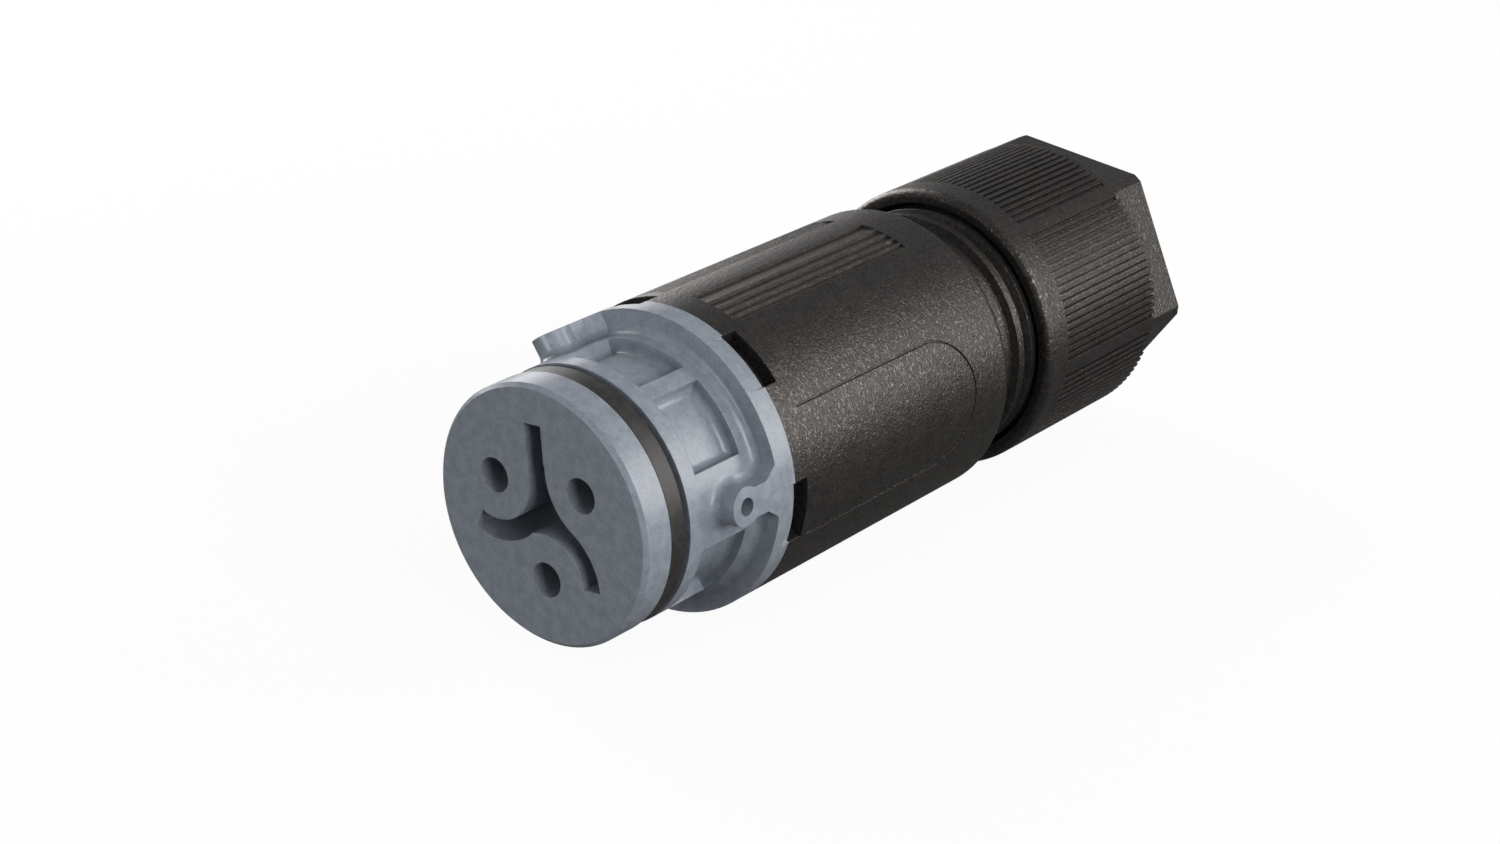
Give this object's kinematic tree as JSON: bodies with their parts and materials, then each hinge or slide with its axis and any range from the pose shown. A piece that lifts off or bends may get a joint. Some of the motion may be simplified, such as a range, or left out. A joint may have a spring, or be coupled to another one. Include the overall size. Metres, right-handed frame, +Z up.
{
  "type": "female installation connector",
  "caption": "Round female installation connector with a grey contact insert, a front seal, a black sleeve with grip ribs and a ribbed cable gland nut with a hexagon.",
  "frame": {"origin": "centre of the flat mating face, on the connector's axis", "axes": "+Y along the axis from the mating face to the cable gland, the mating face faces -Y, +Z up"},
  "size_m": [0.0296, 0.0834, 0.0296],
  "materials": {
    "grey_plastic": "satin moulded plastic",
    "black_plastic": "fine grained moulded plastic",
    "seal_rubber": "matte",
    "contact_metal": "plated, satin",
    "clamp_metal": "plated, satin",
    "screw_metal": "plated, satin"
  },
  "bodies": {
    "connector": {"contact_carrier": "grey_plastic", "front_seal": "seal_rubber", "contact_socket_1": "contact_metal", "contact_socket_2": "contact_metal", "contact_socket_3": "contact_metal", "terminal_body_1": "clamp_metal", "terminal_body_2": "clamp_metal", "terminal_body_3": "clamp_metal", "wire_guide": "grey_plastic", "housing_seal": "seal_rubber", "housing": "black_plastic", "gland_seal": "seal_rubber", "clamp_cage": "black_plastic"},
    "thrust": {"thrust_ring": "black_plastic"},
    "nut": {"cap_nut": "black_plastic"},
    "plate_1": {"clamp_plate_1": "clamp_metal"},
    "screw_1": {"terminal_screw_1": "screw_metal"},
    "plate_2": {"clamp_plate_2": "clamp_metal"},
    "screw_2": {"terminal_screw_2": "screw_metal"},
    "plate_3": {"clamp_plate_3": "clamp_metal"},
    "screw_3": {"terminal_screw_3": "screw_metal"}
  },
  "joints": [
    {"name": "nut_advance", "type": "slide", "parent": "connector", "child": "thrust", "axis": [0, -1, 0], "range_m": [-0.0055, 0.0033]},
    {"name": "nut_turn", "type": "hinge", "parent": "thrust", "child": "nut", "pos_m": [0, 0.081, 0], "axis": [0, -1, 0], "range_deg": [-901, 541]},
    {"name": "plate_press_1", "type": "slide", "parent": "connector", "child": "plate_1", "axis": [-0.8161, 0, -0.5779], "range_m": [0, 0.0015]},
    {"name": "screw_turn_1", "type": "hinge", "parent": "plate_1", "child": "screw_1", "pos_m": [0.00743, 0.03325, 0.00526], "axis": [-0.8161, 0, -0.5779], "range_deg": [0, 1081]},
    {"name": "plate_press_2", "type": "slide", "parent": "connector", "child": "plate_2", "axis": [0.9085, 0, -0.4179], "range_m": [0, 0.0015]},
    {"name": "screw_turn_2", "type": "hinge", "parent": "plate_2", "child": "screw_2", "pos_m": [-0.00827, 0.03325, 0.0038], "axis": [0.9085, 0, -0.4179], "range_deg": [0, 1081]},
    {"name": "plate_press_3", "type": "slide", "parent": "connector", "child": "plate_3", "axis": [-0.0924, 0, 0.9957], "range_m": [0, 0.0015]},
    {"name": "screw_turn_3", "type": "hinge", "parent": "plate_3", "child": "screw_3", "pos_m": [0.00084, 0.03325, -0.00906], "axis": [-0.0924, 0, 0.9957], "range_deg": [0, 1081]}
  ],
  "couplings": [
    {"joint": "nut_turn", "follows": "nut_advance", "rad_per_m": 2856},
    {"joint": "screw_turn_1", "follows": "plate_press_1", "rad_per_m": 12566},
    {"joint": "screw_turn_2", "follows": "plate_press_2", "rad_per_m": 12566},
    {"joint": "screw_turn_3", "follows": "plate_press_3", "rad_per_m": 12566}
  ]
}
